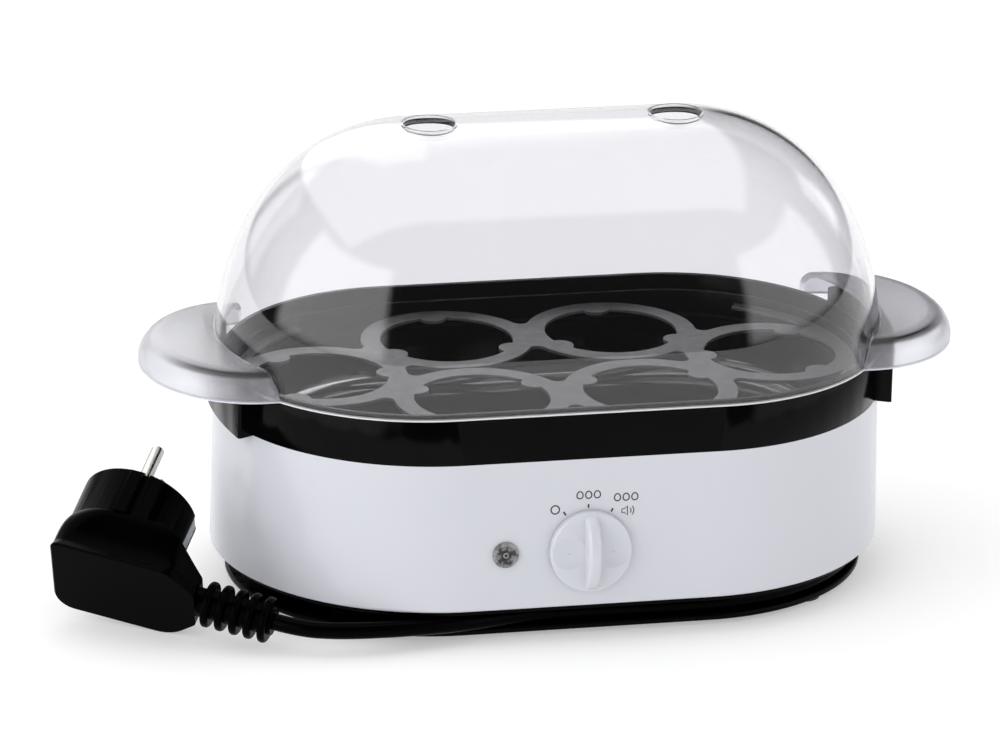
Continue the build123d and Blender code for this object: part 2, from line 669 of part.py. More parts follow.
def plug_pins():
    pins = []
    for side in (-1, 1):
        pin = Pos(0, side * PIN_SPACING / 2, PIN_LENGTH / 2) * Cylinder(PIN_DIAMETER / 2, PIN_LENGTH)
        pins.append(PLUG * fillet(pin.edges().sort_by(Axis.Z)[-1], 1.2))
    return group(pins)


def earth_clips():
    places = [side * (PLUG_RADIUS - 0.8) for side in (-1, 1)]
    return group(PLUG * Pos(x, 0, -9.2) * Box(0.8, 6, 16) for x in places)


def strain_relief():
    """Ribbed sleeve between the plug and the lead, its rings joined by two bars."""
    length = RELIEF_END - SNOUT_END
    axis = Plane(origin=(SNOUT_END, 0, RELIEF_AXIS), z_dir=(1, 0, 0))
    sleeve = axis * Pos(0, 0, length / 2) * Cylinder(4.9, length)
    for side in (-1, 1):
        sleeve += axis * Pos(0, side * 5.2, length / 2 - 1) * Box(3.0, 3.4, length - 2)
    for k in range(RELIEF_RINGS):
        rib = Cylinder(8.2, 2.9)
        rib = fillet(rib.edges().filter_by(GeomType.CIRCLE), 1.2)
        sleeve += axis * Pos(0, 0, 4.2 + RELIEF_PITCH * k) * rib
    return PLUG * sleeve


# ---- lid and tray ----
def dome(radius, height, low):
    """Solid dome: round ends and a straight middle under one curved profile."""
    k = DOME_FULLNESS
    top = low + height
    side = Bezier((radius, low), (radius, low + k * height), (k * radius, top), (0, top))
    half = make_face([side, Line((0, top), (0, low)), Line((0, low), (radius, low))])
    end = revolve(Plane.XZ * half, Axis.Z)
    across = extrude(Plane.YZ * half, UPPER_STRAIGHT, both=True)
    middle = across + Rot(0, 0, 180) * across
    return middle + Pos(UPPER_STRAIGHT, 0, 0) * end + Pos(-UPPER_STRAIGHT, 0, 0) * end


def handle_outline(inset):
    half = HANDLE_HALF_WIDTH - inset
    outline = Pos(HANDLE_CENTRE, 0) * Ellipse(HANDLE_REACH - inset, half)
    outline &= Pos(HANDLE_CENTRE + 50, 0) * Rectangle(100, 200)
    root = Pos((HANDLE_CENTRE + HANDLE_ROOT) / 2, 0) * Rectangle(HANDLE_CENTRE - HANDLE_ROOT, 2 * half)
    return outline + root


def handle_blank(inset, low, high):
    """D-shaped block with a wide rounding along its outer top edge."""
    blank = extrude(Pos(0, 0, low) * handle_outline(inset), high - low)
    top = blank.faces().sort_by(Axis.Z)[-1]
    rim = [edge for edge in top.edges() if edge.center().X > HANDLE_ROOT + 1]
    return fillet(rim, HANDLE_ROUNDING - inset)


def handle(side):
    """Hollow D-shaped grip, open below."""
    low = RIM_TOP + LID_GAP
    grip = handle_blank(0, low, HANDLE_TOP) - handle_blank(HANDLE_WALL, low - 1, HANDLE_TOP - HANDLE_WALL)
    return grip if side > 0 else Rot(0, 0, 180) * grip


def lid():
    low = RIM_TOP + LID_GAP
    radius = OUTLINE_RIM[1]
    top = low + LID_HEIGHT
    skin = dome(radius, LID_HEIGHT - LID_GAP, low)
    for side in (-1, 1):
        skin = skin + handle(side)
        skin = skin + rod(side * VENT_X, 0, top - 3, top + VENT_RISE, VENT_RADIUS + VENT_LIP)
    skin = skin - dome(radius - LID_WALL, LID_HEIGHT - LID_WALL, low - 0.05)
    for side in (-1, 1):
        skin = skin - rod(side * VENT_X, 0, top - 20, top + 5, VENT_RADIUS)
    return skin


def egg_tray():
    """Steel sheet cut into six joined rings, with nubs in each hole and end arms."""
    sheet = Sketch()
    for x, y in HOLES:
        sheet += Pos(x, y) * Circle(RING_RADIUS)
    sheet = fillet(sheet.vertices(), 3.0)
    for side in (-1, 1):
        arc = Pos(side * UPPER_STRAIGHT, 0) * (Circle(TRAY_EDGE) - Circle(TRAY_EDGE - ARM_WIDTH))
        reach = 1.6 * TRAY_EDGE
        angle = math.radians(ARM_REACH)
        wedge = Polygon((0, 0), (reach * math.cos(angle), -reach * math.sin(angle)), (1.3 * reach, 0),
                        (reach * math.cos(angle), reach * math.sin(angle)), align=None)
        if side < 0:
            wedge = Rot(0, 0, 180) * wedge
        sheet += arc & (Pos(side * UPPER_STRAIGHT, 0) * wedge)
    sheet &= SlotOverall(2 * (UPPER_STRAIGHT + TRAY_EDGE), 2 * TRAY_EDGE)
    for (x, y), start in zip(HOLES, NUB_ANGLES):
        hole = Pos(x, y) * Circle(HOLE_RADIUS)
        for k in range(3):
            a = math.radians(start + 120 * k)
            nub = Pos(x + (HOLE_RADIUS + 1) * math.cos(a), y + (HOLE_RADIUS + 1) * math.sin(a))
            hole -= nub * Circle(NUB_RADIUS)
        sheet -= hole
    return extrude(Pos(0, 0, LEDGE_TOP + 0.03) * sheet, TRAY_THICKNESS)


NODES = {
    "housing_shell": housing_shell, "collar_ring": collar_ring, "base_plate": base_plate,
    "winder_flange": winder_flange, "rubber_feet": rubber_feet, "base_screws": base_screws,
    "flange_screws": flange_screws, "heating_pan": heating_pan, "pan_seal": pan_seal,
    "pan_brackets": pan_brackets, "bracket_screws": bracket_screws,
    "heat_spreader": heat_spreader, "heating_element": heating_element,
    "element_straps": element_straps, "thermostat": thermostat,
    "thermostat_bracket": thermostat_bracket, "bracket_bolts": bracket_bolts,
    "thermal_fuse": thermal_fuse, "knob": knob, "knob_clip": knob_clip,
    "switch_spindle": switch_spindle, "rotary_switch": rotary_switch,
    "switch_bracket": switch_bracket, "switch_screws": bracket_fixings,
    "lamp_lens": lamp_lens, "lamp_holder": lamp_holder, "lamp_bulb": lamp_bulb,
    "buzzer": buzzer, "terminal_block": terminal_block, "terminal_screws": terminal_screws,
    "cord_gland": cord_gland, "cord_tail": cord_tail, "cord_clamp": cord_clamp,
    "cord_winding": cord_winding, "power_cord": power_cord, "plug_body": plug_body,
    "plug_pins": plug_pins, "plug_earth_clips": earth_clips, "plug_strain_relief": strain_relief,
    "lid": lid, "egg_tray": egg_tray,
}

for node_name, make in NODES.items():
    save(make(), node_name)
for node_name, wire in leads().items():
    save(wire, node_name)
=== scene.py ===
"""Looks of a six-egg cooker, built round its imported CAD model. Metres, +X right, -Y front, +Z up."""

import math

import bpy
from mathutils import Matrix, Vector


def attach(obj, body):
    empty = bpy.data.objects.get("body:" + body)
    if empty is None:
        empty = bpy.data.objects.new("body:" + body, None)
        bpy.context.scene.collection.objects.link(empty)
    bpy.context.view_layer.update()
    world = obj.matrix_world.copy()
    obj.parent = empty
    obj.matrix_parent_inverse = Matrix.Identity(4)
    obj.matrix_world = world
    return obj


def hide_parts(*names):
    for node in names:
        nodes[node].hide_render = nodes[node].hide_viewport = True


MM = 0.001

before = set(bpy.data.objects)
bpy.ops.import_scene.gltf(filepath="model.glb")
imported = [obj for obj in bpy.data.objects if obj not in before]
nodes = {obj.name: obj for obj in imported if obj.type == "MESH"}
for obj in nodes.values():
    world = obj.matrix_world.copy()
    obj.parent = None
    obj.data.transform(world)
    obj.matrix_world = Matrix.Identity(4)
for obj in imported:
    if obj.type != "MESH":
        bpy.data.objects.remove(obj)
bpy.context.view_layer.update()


# ---- sizes that both shapes and materials use, in millimetres ----
DOME_LOW = 82.6
DOME_HEIGHT = 84.9
DOME_RADIUS = 72.0
DOME_STRAIGHT = 48.0    # half of the straight side between the round ends
DOME_FULLNESS = 0.60
LID_WALL = 2.0
VENT_X = 44.5
VENT_RADIUS = 9.25
VENT_LIP = 0.7
VENT_RISE = 0.5
GRIP_CENTRE = 109.5
GRIP_ROOT = 94.0
GRIP_REACH = 37.8
GRIP_HALF_WIDTH = 43.9
GRIP_TOP = 93.0
GRIP_ROUNDING = 9.0
GRIP_WALL = 2.2
COLLAR_STEPS = ((84.3, 68.0), (79.3, 64.8))    # level and radius of the edges inside the collar
PAN_FOOT = (51.2, 57.5)                        # the levels of the painted bright reflection on the pan's lower wall
LAMP_PLACE = (-31.0, 34.0)                     # across and up on the front panel


# ---- camera ----
CAMERA_AZIMUTH = math.radians(-12.544)
CAMERA_ELEVATION = math.radians(19.648)
CAMERA_ROLL = math.radians(1.147)
CAMERA_PLACE = Vector((-0.4918, -2.1331, 0.8527))
CAMERA_LENS = 234.0


def make_camera():
    """Long lens from the front left, a little above, with a slight roll."""
    sin_a, cos_a = math.sin(CAMERA_AZIMUTH), math.cos(CAMERA_AZIMUTH)
    sin_e, cos_e = math.sin(CAMERA_ELEVATION), math.cos(CAMERA_ELEVATION)
    sin_r, cos_r = math.sin(CAMERA_ROLL), math.cos(CAMERA_ROLL)
    ahead = Vector((-sin_a * cos_e, cos_a * cos_e, -sin_e))
    level = Vector((cos_a, sin_a, 0))
    above = level.cross(ahead)
    right = cos_r * level + sin_r * above
    up = cos_r * above - sin_r * level
    data = bpy.data.cameras.new("camera")
    data.lens = CAMERA_LENS
    data.sensor_width = 36.0
    data.clip_start = 0.05
    data.clip_end = 50.0
    camera = bpy.data.objects.new("camera", data)
    turned = Matrix((right, up, -ahead)).transposed().to_4x4()
    camera.matrix_world = Matrix.Translation(CAMERA_PLACE) @ turned
    bpy.context.scene.collection.objects.link(camera)
    bpy.context.scene.camera = camera


# ---- node trees ----
class Nodes:
    """Short ways to add and join the nodes of one tree."""

    def __init__(self, tree):
        self.tree = tree

    def node(self, kind, **settings):
        made = self.tree.nodes.new(kind)
        for name, value in settings.items():
            setattr(made, name, value)
        return made

    def join(self, source, target):
        """Feed a socket with another socket's output, or set it to a number."""
        if isinstance(source, (int, float)):
            target.default_value = source
        else:
            self.tree.links.new(source, target)

    def math(self, operation, *values):
        """One arithmetic step on sockets or numbers."""
        made = self.node("ShaderNodeMath", operation=operation)
        for value, target in zip(values, made.inputs):
            self.join(value, target)
        return made.outputs["Value"]

    def spread(self, value, low, high, from_low=0.3, from_high=0.7, smooth=False):
        """Map a value from one range to another, held at the ends."""
        made = self.node("ShaderNodeMapRange")
        if smooth:
            made.interpolation_type = "SMOOTHSTEP"
        limits = {"From Min": from_low, "From Max": from_high, "To Min": low, "To Max": high}
        for target, number in limits.items():
            made.inputs[target].default_value = number
        self.join(value, made.inputs["Value"])
        return made.outputs["Result"]

    def window(self, value, low, high, soft):
        """1 between two limits, 0 outside, with soft edges."""
        rise = self.spread(value, 0, 1, low - soft, low + soft, smooth=True)
        fall = self.spread(value, 1, 0, high - soft, high + soft, smooth=True)
        return self.math("MULTIPLY", rise, fall)

    def length(self, a, b):
        """Length of the vector with these two parts."""
        return self.math("SQRT", self.math("MULTIPLY_ADD", a, a, self.math("MULTIPLY", b, b)))

    def split(self, vector):
        """The three parts of a vector."""
        made = self.node("ShaderNodeSeparateXYZ")
        self.join(vector, made.inputs[0])
        return made.outputs


# ---- materials ----
class Shader(Nodes):
    """A material with a principled shader, its patterns in object coordinates (metres)."""

    def __init__(self, name, color, roughness, metallic=0.0, **sockets):
        self.material = bpy.data.materials.new(name)
        self.material.use_nodes = True
        super().__init__(self.material.node_tree)
        self.shader = self.tree.nodes["Principled BSDF"]
        self.shader.inputs["Base Color"].default_value = (*color, 1.0)
        self.shader.inputs["Roughness"].default_value = roughness
        self.shader.inputs["Metallic"].default_value = metallic
        for socket, value in sockets.items():
            self.shader.inputs[socket.replace("_", " ")].default_value = value
        self.where = self.node("ShaderNodeTexCoord").outputs["Object"]
        self.normal = None

    def drive(self, value, socket):
        """Feed one of the shader's sockets."""
        self.join(value, self.shader.inputs[socket])

    def noise(self, scale, detail=3.0, roughness=0.55, where=None):
        """Cloudy pattern; scale is features per metre, one number or three."""
        mapping = self.node("ShaderNodeMapping")
        mapping.inputs["Scale"].default_value = scale if hasattr(scale, "__len__") else (scale,) * 3
        self.join(where or self.where, mapping.inputs["Vector"])
        made = self.node("ShaderNodeTexNoise")
        made.inputs["Scale"].default_value = 1.0
        made.inputs["Detail"].default_value = detail
        made.inputs["Roughness"].default_value = roughness
        self.join(mapping.outputs["Vector"], made.inputs["Vector"])
        return made.outputs["Fac"]

    def vary_roughness(self, scale, low, high, detail=4.0):
        self.drive(self.spread(self.noise(scale, detail), low, high), "Roughness")

    def ramp(self, value, first, second, low=0.35, high=0.65):
        """Blend from one colour to another between two values."""
        made = self.node("ShaderNodeValToRGB")
        for element, position, color in zip(made.color_ramp.elements, (low, high), (first, second)):
            element.position = position
            element.color = (*color, 1)
        self.join(value, made.inputs["Fac"])
        return made.outputs["Color"]

    def vary_color(self, scale, first, second, detail=3.0):
        self.drive(self.ramp(self.noise(scale, detail), first, second), "Base Color")

    def raise_by(self, height, depth):
        """Relief of that depth in metres on top of any already there."""
        made = self.node("ShaderNodeBump")
        made.inputs["Strength"].default_value = 1.0
        made.inputs["Distance"].default_value = depth
        self.join(height, made.inputs["Height"])
        if self.normal:
            self.join(self.normal, made.inputs["Normal"])
        self.normal = made.outputs["Normal"]
        self.drive(self.normal, "Normal")

    def bump(self, scale, depth, detail=2.0):
        self.raise_by(self.noise(scale, detail), depth)

    def reach(self):
        """Distance from the middle line that the round-ended outlines share."""
        x, y, _ = self.split(self.where)
        past = self.math("SUBTRACT", self.math("ABSOLUTE", x), DOME_STRAIGHT * MM)
        return self.length(self.math("MAXIMUM", past, 0.0), y)

    def tint(self, value, blue=1.0):
        """Base colour of one brightness, its blue a little stronger."""
        made = self.node("ShaderNodeCombineColor")
        for target in ("Red", "Green"):
            self.join(value, made.inputs[target])
        self.join(self.math("MULTIPLY", value, blue), made.inputs["Blue"])
        self.drive(made.outputs["Color"], "Base Color")


def grey(value):
    """A colour of equal parts."""
    return value, value, value


def white_gloss():
    """Glossy white plastic of the body and the knob, faintly blue."""
    made = Shader("white_gloss", (0.645, 0.655, 0.71), 0.24, Coat_Weight=0.2, Coat_Roughness=0.1)
    made.vary_roughness(60, 0.23, 0.25)
    made.vary_color(9, (0.642, 0.652, 0.707), (0.649, 0.659, 0.714))
    made.bump(900, 0.000003)
    return made.material


def satin_black(name, color, low, high, specular, grain=3200):
    """Moulded black plastic: fine grain, slightly uneven gloss."""
    made = Shader(name, grey(color), low, Specular_IOR_Level=specular)
    made.vary_roughness(140, low, high)
    made.vary_color(30, grey(color * 0.8), grey(color * 1.3))
    made.bump(grain, 0.000015)
    return made.material


def collar_black():
    """The collar's black, with painted highlights in grey along the edges of its inner steps."""
    made = Shader("collar_black", grey(0.0012), 0.15, Specular_IOR_Level=0.075)
    _, _, z = made.split(made.where)
    reach = made.reach()
    edges = 0.0
    for level, radius in COLLAR_STEPS:
        at_level = made.window(z, (level - 0.34) * MM, (level + 0.2) * MM, 0.1 * MM)
        inside = made.spread(reach, 1, 0, (radius + 0.5) * MM, (radius + 0.9) * MM)
        edges = made.math("MULTIPLY_ADD", at_level, inside, edges)
    # painted highlight: thin grey lines along the edges of the inner steps, uneven along their length
    painted_edge_highlight = made.math("MULTIPLY", edges, made.spread(made.noise(60, 3.0), 0.02, 0.10))
    cloud = made.spread(made.noise(30), 0.0009, 0.0016)
    made.tint(made.math("ADD", painted_edge_highlight, cloud), 1.04)
    made.vary_roughness(140, 0.12, 0.18)
    made.bump(3200, 0.000015)
    return made.material


def foot_rubber():
    """Matt black rubber."""
    made = Shader("foot_rubber", grey(0.012), 0.75, Specular_IOR_Level=0.2)
    made.vary_roughness(200, 0.65, 0.85)
    made.vary_color(150, grey(0.009), grey(0.016))
    made.bump(1800, 0.00004)
    return made.material


def metal(name, color, low, high, scale, depth=0.00001):
    """Bare or plated metal with an uneven finish."""
    made = Shader(name, color, low, 1.0)
    made.vary_roughness(scale, low, high)
    made.vary_color(45, tuple(0.92 * c for c in color), color)
    made.bump(tuple(5 * s for s in scale) if hasattr(scale, "__len__") else 5 * scale, depth)
    return made.material


def polished_pan():
    """Polished steel with its reflections painted: a floor painted dark as a dark mirror, and a painted
    bright reflection on the foot of the wall, streaked along it.
    """
    made = Shader("polished_pan", (0.3, 0.295, 0.29), 0.06, 1.0)
    _, _, z = made.split(made.where)
    along = made.node("ShaderNodeCombineXYZ")
    made.join(made.reach(), along.inputs["X"])
    made.join(z, along.inputs["Z"])
    streaks = made.noise(330, 3.0, where=along.outputs["Vector"])
    # painted reflection: a bright streaked band on the foot of the wall, over a base colour painted dark
    # for the dark reflections elsewhere
    foot = made.window(z, PAN_FOOT[0] * MM, PAN_FOOT[1] * MM, 0.7 * MM)
    bright = made.math("MULTIPLY", foot, made.spread(streaks, 0, 1, 0.5, 0.66))
    made.tint(made.math("MULTIPLY_ADD", bright, 0.5, 0.055), 0.98)
    made.vary_roughness((14, 260, 260), 0.04, 0.10)
    made.raise_by(streaks, 0.00004)
    return made.material


def cast_aluminium():
    """Dull grainy casting."""
    made = Shader("cast_aluminium", (0.72, 0.72, 0.73), 0.45, 1.0)
    made.vary_roughness(240, 0.38, 0.58)
    made.vary_color(90, (0.66, 0.66, 0.67), (0.76, 0.76, 0.77))
    made.bump(700, 0.00006)
    return made.material


def oxidised_sheath():
    """Heater sheath, browned by heat."""
    made = Shader("oxidised_sheath", (0.24, 0.21, 0.19), 0.5, 1.0)
    made.vary_color(60, (0.20, 0.17, 0.15), (0.34, 0.31, 0.30))
    made.vary_roughness(300, 0.4, 0.65)
    made.bump(900, 0.00003)
    return made.material


def moulded(name, first, second):
    """Plain moulded plastic of the inner parts and the wires."""
    made = Shader(name, first, 0.42)
    made.vary_color(80, first, second)
    made.vary_roughness(200, 0.36, 0.52)
    made.bump(1400, 0.00002)
    return made.material


def clear_lens():
    """Moulded window, half clear: a small ringed hub inside coarse facets, with painted highlights on the
    facets, the ring and the rim, and painted shade over the hub.
    """
    made = Shader("clear_lens", grey(0.4), 0.12, IOR=1.45, Transmission_Weight=0.3)
    x, _, z = made.split(made.where)
    across = made.math("SUBTRACT", x, LAMP_PLACE[0] * MM)
    up = made.math("SUBTRACT", z, LAMP_PLACE[1] * MM)
    radius = made.length(across, up)
    turn = made.math("ARCTAN2", up, across)
    # painted light: highlights on the facets, a bright ring in the hub and a fainter one on the rim, and
    # the hub painted dim
    bend = made.math("MULTIPLY", made.noise(520, 1.0), 9.0)
    wave = made.math("SINE", made.math("MULTIPLY_ADD", turn, 3.0, bend))
    facets = made.spread(wave, 0.04, 0.24, -0.7, 0.6, smooth=True)
    hub = made.window(radius, -MM, 1.95 * MM, 0.3 * MM)
    ring = made.window(radius, 0.6 * MM, 1.0 * MM, 0.12 * MM)
    rim = made.window(radius, 3.5 * MM, 9 * MM, 0.25 * MM)
    bright = made.math("MULTIPLY_ADD", ring, 0.4, made.math("MULTIPLY", rim, 0.14))
    value = made.math("ADD", made.math("MULTIPLY", facets, made.spread(hub, 1.0, 0.25, 0, 1)), bright)
    made.tint(made.math("MULTIPLY", value, made.spread(made.noise(900), 0.75, 1.3)), 1.03)
    made.vary_roughness(300, 0.09, 0.16)
    made.raise_by(value, 0.0004)
    return made.material


def lamp_glass():
    """Warm glass of the small bulb."""
    made = Shader("lamp_glass", (0.9, 0.75, 0.6), 0.08, IOR=1.5, Transmission_Weight=0.9)
    made.vary_roughness(300, 0.05, 0.12)
    made.bump(600, 0.00001)
    return made.material


LID_TINT = 0.89
# the clear dome, its frosted grips and its lit lower edge
LID_ROUGHNESS = (0.01, 0.26, 0.4)
LID_CLEARNESS = (1.0, 0.82, 0.25)


def clear_lid():
    """Clear dome; its grips are frosted, with painted shade along the fold, towards their tops and near
    the dome; its lowest edge catches the light as a painted highlight.
    """
    made = Shader("clear_lid", grey(LID_TINT), LID_ROUGHNESS[0], IOR=1.49, Transmission_Weight=1.0)
    _, y, z = made.split(made.where)
    reach = made.reach()
    frosted = made.spread(reach, 0, 1, (DOME_RADIUS + 0.1) * MM, (DOME_RADIUS + 0.5) * MM)
    lit_edge = made.spread(z, 1, 0, (DOME_LOW + 0.45) * MM, (DOME_LOW + 0.6) * MM)
    for socket, stronger, (plain, frost, edge) in (("Roughness", "MAXIMUM", LID_ROUGHNESS),
                                                   ("Transmission Weight", "MINIMUM", LID_CLEARNESS)):
        on_grips = made.spread(frosted, plain, frost, 0, 1)
        on_edge = made.spread(lit_edge, plain, edge, 0, 1)
        made.drive(made.math(stronger, on_grips, on_edge), socket)
    # painted shade on the grips: a dark band along the fold, stronger away from the middle line, more
    # towards the top and near the dome
    fold = made.window(z, (GRIP_TOP - 2.2) * MM, (GRIP_TOP - 0.5) * MM, 0.5 * MM)
    aside = made.spread(made.math("ABSOLUTE", y), 0.05, 0.62, 7 * MM, 30 * MM, smooth=True)
    above = made.spread(z, 0.0, 0.30, (GRIP_TOP - 3) * MM, (GRIP_TOP - 0.5) * MM, smooth=True)
    near = made.spread(reach, 0.10, 0.0, DOME_RADIUS * MM, (DOME_RADIUS + 16) * MM, smooth=True)
    painted_shade = made.math("ADD", made.math("MULTIPLY", fold, aside), made.math("ADD", above, near))
    painted_grip_shade = made.math("MULTIPLY", frosted, painted_shade)
    # painted highlight: the lid's lowest edge made a little lighter
    painted_rim_highlight = made.math("MULTIPLY", lit_edge, 0.06)
    brightness = made.math("ADD", made.math("SUBTRACT", LID_TINT, painted_grip_shade), painted_rim_highlight)
    made.tint(brightness, made.spread(frosted, 1.025, 1.07, 0, 1))
    made.raise_by(made.math("MULTIPLY", made.noise(1400, 4.0), frosted), 0.00005)
    return made.material


def tray_coating():
    """Grey non-stick coating with a fine grain."""
    made = Shader("tray_coating", grey(0.13), 0.36, 0.2)
    made.vary_color(220, grey(0.115), grey(0.145))
    made.vary_roughness(400, 0.30, 0.46)
    made.bump(1500, 0.00003)
    return made.material


def paint(material, *names):
    """Give CAD nodes one material."""
    for name in names:
        data = nodes[name].data
        data.materials.clear()
        data.materials.append(material)


def paint_cad_nodes():
    paint(white_gloss(), "housing_shell", "knob")
    paint(collar_black(), "collar_ring")
    paint(satin_black("base_black", 0.0006, 0.24, 0.34, 0.05), "base_plate", "winder_flange")
    paint(satin_black("plug_black", 0.0003, 0.20, 0.27, 0.018, 2600), "plug_body", "plug_strain_relief")
    paint(satin_black("gland_black", 0.005, 0.36, 0.48, 0.3), "cord_tail", "cord_gland")
    paint(foot_rubber(), "rubber_feet", "pan_seal")
    paint(metal("screw_steel", (0.62, 0.61, 0.58), 0.2, 0.4, 400), "base_screws", "flange_screws",
          "bracket_screws", "bracket_bolts", "switch_screws", "terminal_screws")
    paint(polished_pan(), "heating_pan")
    paint(metal("plated_steel", (0.55, 0.56, 0.57), 0.22, 0.42, 180), "pan_brackets", "element_straps",
          "thermostat_bracket", "switch_bracket", "knob_clip", "switch_spindle", "plug_earth_clips")
    paint(cast_aluminium(), "heat_spreader")
    paint(oxidised_sheath(), "heating_element")
    paint(moulded("control_plastic", grey(0.045), grey(0.06)), "thermostat", "rotary_switch", "buzzer",
          "lamp_holder", "thermal_fuse")
    paint(moulded("terminal_plastic", (0.78, 0.75, 0.66), (0.72, 0.69, 0.60)), "terminal_block",
          "cord_clamp")
    paint(clear_lens(), "lamp_lens")
    paint(lamp_glass(), "lamp_bulb")
    paint(metal("pin_nickel", (0.80, 0.78, 0.73), 0.14, 0.3, (500, 500, 60)), "plug_pins")
    paint(moulded("wire_brown", (0.28, 0.12, 0.05), (0.34, 0.16, 0.08)), "live_core", "switch_lead")
    paint(moulded("wire_blue", (0.04, 0.14, 0.50), (0.06, 0.19, 0.58)), "neutral_core", "heater_lead")
    paint(moulded("wire_earth", (0.62, 0.66, 0.06), (0.10, 0.45, 0.12)), "earth_core")
    paint(tray_coating(), "egg_tray")


def soften(width, *names):
    """Round the sharp edges of CAD nodes a little."""
    for name in names:
        weld = nodes[name].modifiers.new("weld", "WELD")
        weld.merge_threshold = 0.00001
        bevel = nodes[name].modifiers.new("bevel", "BEVEL")
        bevel.width = width
        bevel.segments = 2
        bevel.limit_method = "ANGLE"
        bevel.angle_limit = math.radians(35)
        bevel.harden_normals = True


# ---- the lid ----
def temporary(name, corners, faces):
    """A mesh object used only to build another one."""
    mesh = bpy.data.meshes.new(name)
    mesh.from_pydata([tuple(c * MM for c in corner) for corner in corners], [], faces)
    made = bpy.data.objects.new(name, mesh)
    bpy.context.scene.collection.objects.link(made)
    return made


def stacked(name, rings, roof=True):
    """Solid through rings of equal point counts, capped below and, with a roof, above."""
    around = len(rings[0])
    corners = [corner for ring in rings for corner in ring]
    faces = [tuple(reversed(range(around)))]
    for level in range(len(rings) - 1):
        low, high = level * around, (level + 1) * around
        for k in range(around):
            n = (k + 1) % around
            faces.append((low + k, low + n, high + n, high + k))
    if roof:
        top = (len(rings) - 1) * around
        faces.append(tuple(range(top, top + around)))
    return temporary(name, corners, faces)


def dome(name, radius, height, low, levels=56, turn_steps=64, side_steps=32):
    """Round-ended dome solid under one curved profile, its ridge a line along X."""
    def ring(r, z):
        points = []
        for side in (1, -1):
            for k in range(turn_steps):
                a = math.radians(-90 + 180 * k / turn_steps)
                points.append((side * (DOME_STRAIGHT + r * math.cos(a)), side * r * math.sin(a), z))
            for k in range(side_steps):
                points.append((side * DOME_STRAIGHT * (1 - 2 * k / side_steps), side * r, z))
        return points

    rings = []
    for level in range(levels):
        t = level / levels
        u = 1 - t
        r = radius * (u ** 3 + 3 * u * u * t + 3 * u * t * t * DOME_FULLNESS)
        z = low + height * (3 * u * u * t * DOME_FULLNESS + 3 * u * t * t + t ** 3)
        rings.append(ring(r, z))
    body = stacked(name, rings, roof=False)
    half = turn_steps + side_steps
    ridge = [(DOME_STRAIGHT * (1 - 2 * k / side_steps), 0.0, low + height) for k in range(side_steps + 1)]
    start = len(rings) * 2 * half
    last = start - 2 * half

    def above(k):
        """The ridge point over a ring point."""
        side, place = divmod(k % (2 * half), half)
        step = max(0, place - turn_steps)
        return start + (step if side == 0 else side_steps - step)

    faces = [tuple(polygon.vertices) for polygon in body.data.polygons]
    corners = [tuple(c / MM for c in vertex.co) for vertex in body.data.vertices] + ridge
    for k in range(2 * half):
        low_pair = (last + k, last + (k + 1) % (2 * half))
        high_pair = (above(k + 1), above(k))
        faces.append(low_pair + high_pair if high_pair[0] != high_pair[1] else low_pair + high_pair[:1])
    bpy.data.objects.remove(body)
    return temporary(name, corners, faces)


def grip_block(name, side, inset, low, high, steps=72, rounds=10):
    """D-shaped block with a wide rounding along its top edge."""
    rounding = GRIP_ROUNDING - inset

    def ring(shrink, z):
        reach = GRIP_REACH - inset - shrink
        half = GRIP_HALF_WIDTH - inset - shrink
        points = [(GRIP_ROOT, -half, z)]
        for k in range(steps + 1):
            a = math.radians(-90 + 180 * k / steps)
            points.append((GRIP_CENTRE + reach * math.cos(a), half * math.sin(a), z))
        points.append((GRIP_ROOT, half, z))
        return [(side * x, side * y, z) for x, y, z in points]

    rings = [ring(0, low)]
    for k in range(rounds + 1):
        a = math.radians(90 * k / rounds)
        rings.append(ring(rounding * (1 - math.cos(a)), high - rounding + rounding * math.sin(a)))
    return stacked(name, rings)


def bore(name, x, radius, low, high, steps=72):
    """Upright cylinder on the lid's middle line."""
    turn = [math.radians(360 * k / steps) for k in range(steps)]
    circle = [(x + radius * math.cos(a), radius * math.sin(a)) for a in turn]
    return stacked(name, [[(*place, z) for place in circle] for z in (low, high)])


def combine(target, operation, tool):
    """Add or cut a solid by an exact boolean modifier, and hand back the tool."""
    modifier = target.modifiers.new(operation, "BOOLEAN")
    modifier.operation = operation
    modifier.solver = "EXACT"
    modifier.object = tool
    return tool


